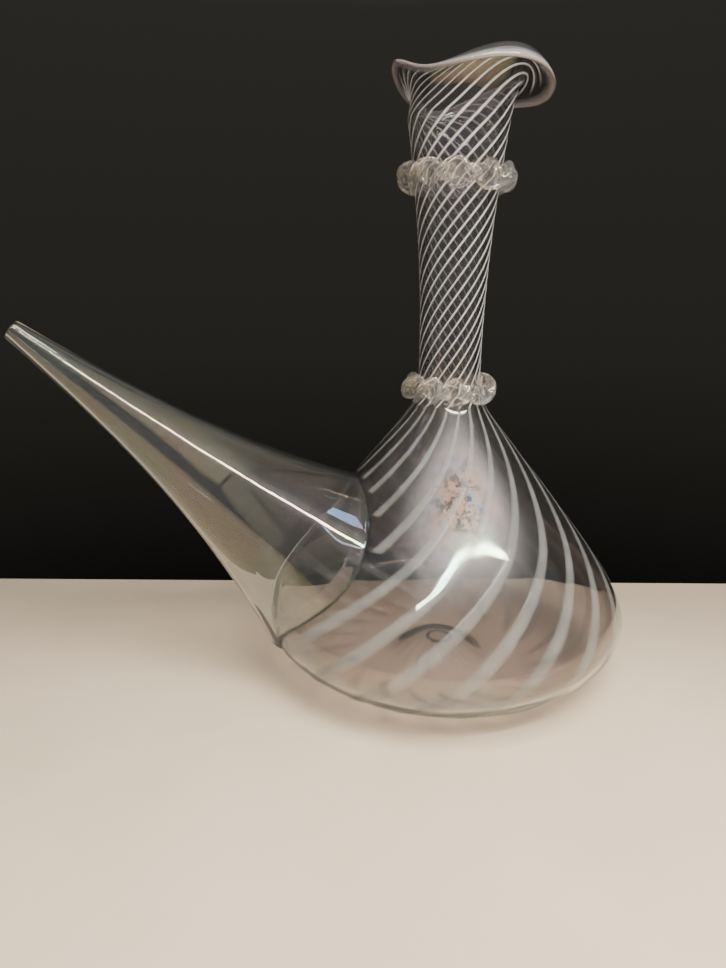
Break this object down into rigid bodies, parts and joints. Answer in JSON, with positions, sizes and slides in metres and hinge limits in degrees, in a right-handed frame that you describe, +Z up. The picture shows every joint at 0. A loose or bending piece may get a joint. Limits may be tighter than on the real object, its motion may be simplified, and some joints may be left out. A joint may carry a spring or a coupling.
{
  "type": "spouted glass pitcher",
  "caption": "Blown glass pouring pitcher: low wide body with twisted white canes, long neck with ruffled lip and twisted trails, and an upturned cone spout.",
  "frame": {"origin": "middle of the flat standing ring under the base, on the axis of the body and neck, in the plane of the table", "axes": "+Z up along the neck, -X from the body towards the spout's mouth, +Y to the right of someone who stands behind the body and looks along the spout"},
  "size_m": [0.2795, 0.1748, 0.2744],
  "materials": {
    "pale_glass": "blown, very slightly lilac-grey, thin iridescent bloom inside the shoulder",
    "clear_glass": "clear hot-worked glass, fire polished",
    "white_cane": "milky white cane, translucent where it is stretched wide"
  },
  "bodies": {
    "root": {"base": "pale_glass", "belly": "pale_glass", "shoulder": "pale_glass", "neck": "pale_glass", "lip": "pale_glass", "pontil_mark": "clear_glass", "spout_bell": "clear_glass", "spout_waist": "clear_glass", "spout_cone": "clear_glass", "spout_tip": "clear_glass", "lower_collar": "clear_glass", "upper_collar": "clear_glass", "kick_canes": "white_cane", "body_canes": "white_cane", "neck_canes": "white_cane", "lip_canes": "white_cane"}
  },
  "joints": []
}
